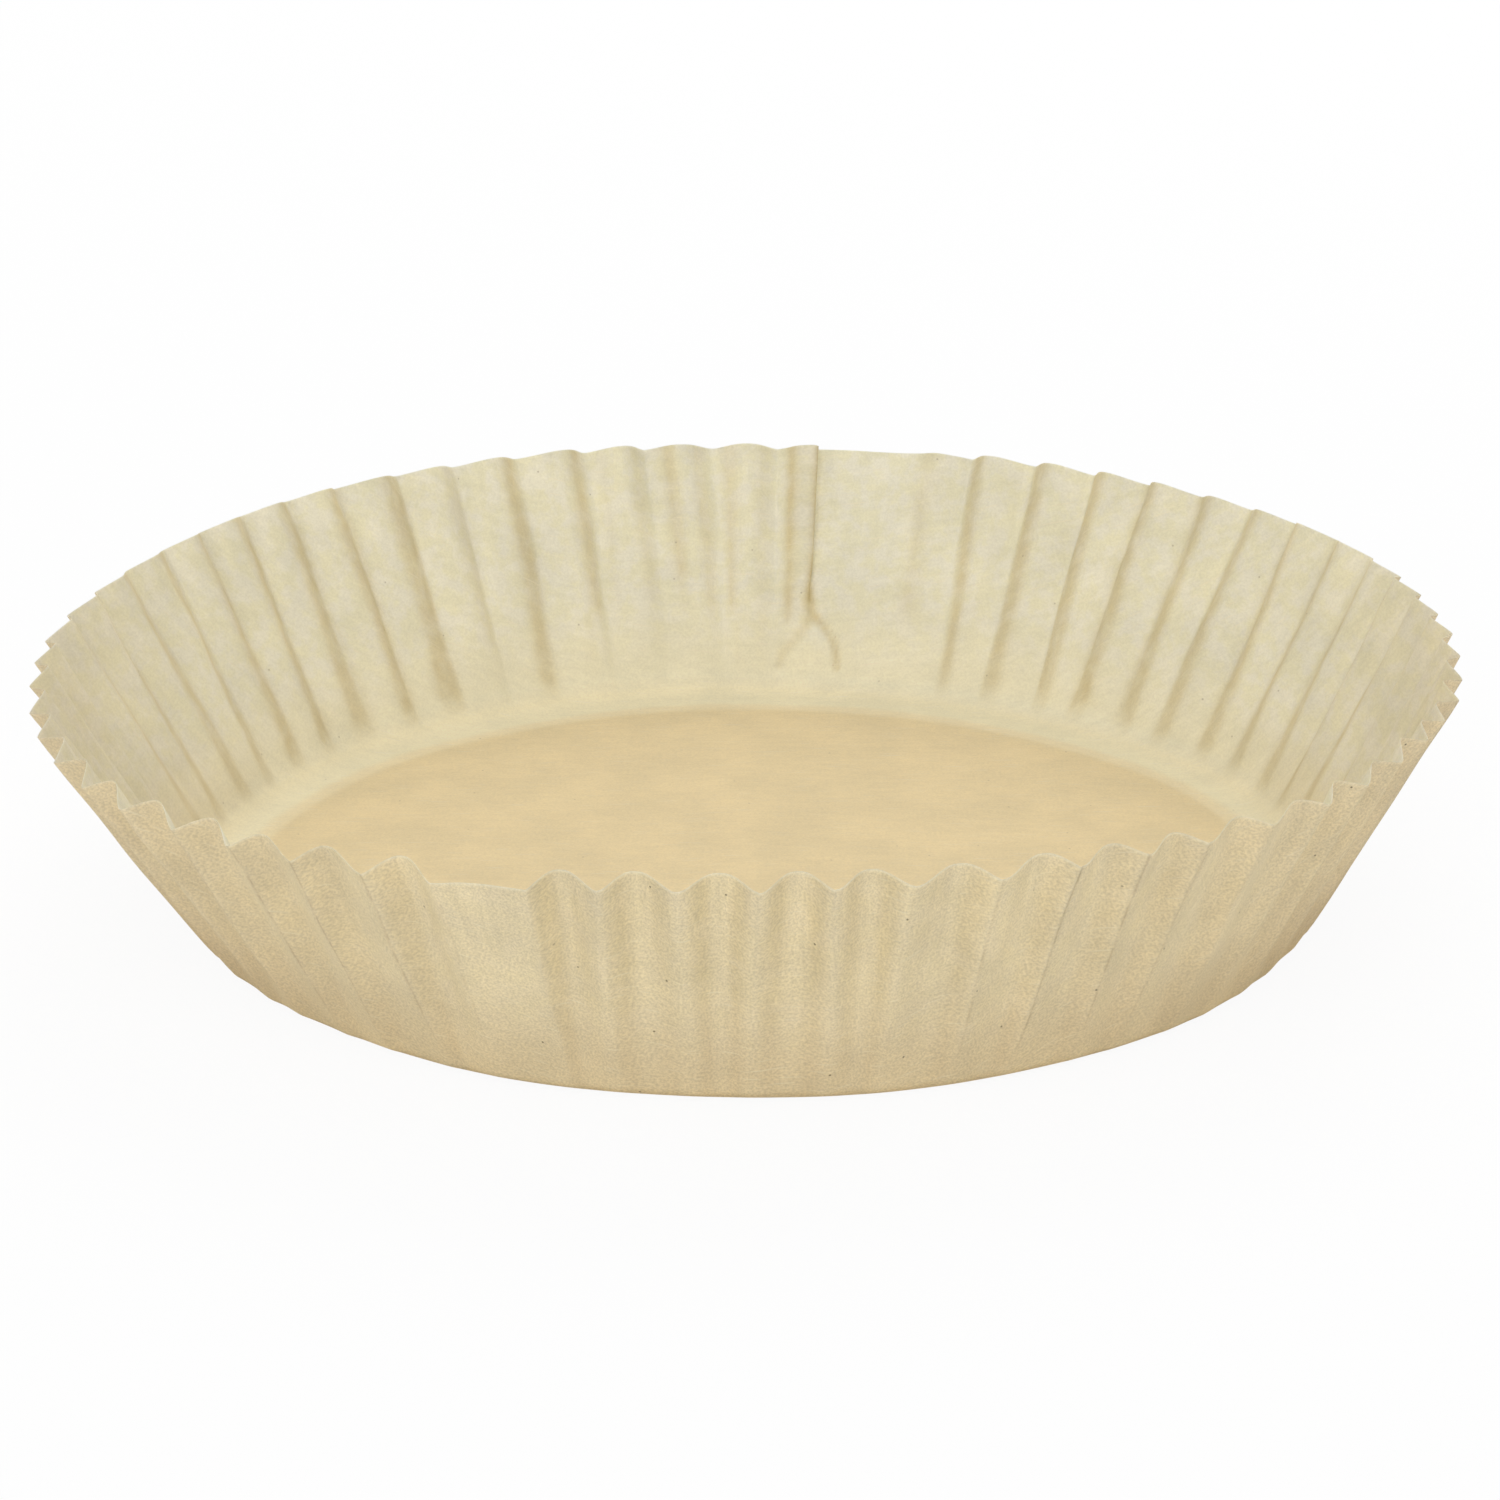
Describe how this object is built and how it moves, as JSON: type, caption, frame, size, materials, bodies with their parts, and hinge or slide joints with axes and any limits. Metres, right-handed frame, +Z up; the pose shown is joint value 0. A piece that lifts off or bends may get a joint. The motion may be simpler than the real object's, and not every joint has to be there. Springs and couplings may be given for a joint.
{
  "type": "air fryer paper liner",
  "caption": "Shallow round paper cup with a flat base and a flared, finely fluted wall, pressed from parchment to line an air fryer basket.",
  "frame": {"origin": "centre of the flat base, on its underside, which is the surface that the liner stands on", "axes": "+Z up out of the open mouth, -Y towards the front of the liner, with the knife pleat at the back near +Y"},
  "size_m": [0.2015, 0.1999, 0.0377],
  "materials": {
    "parchment": "unbleached greaseproof paper, matte, slightly translucent, with fine fibres"
  },
  "bodies": {
    "root": {"paper_liner": "parchment"}
  },
  "joints": []
}
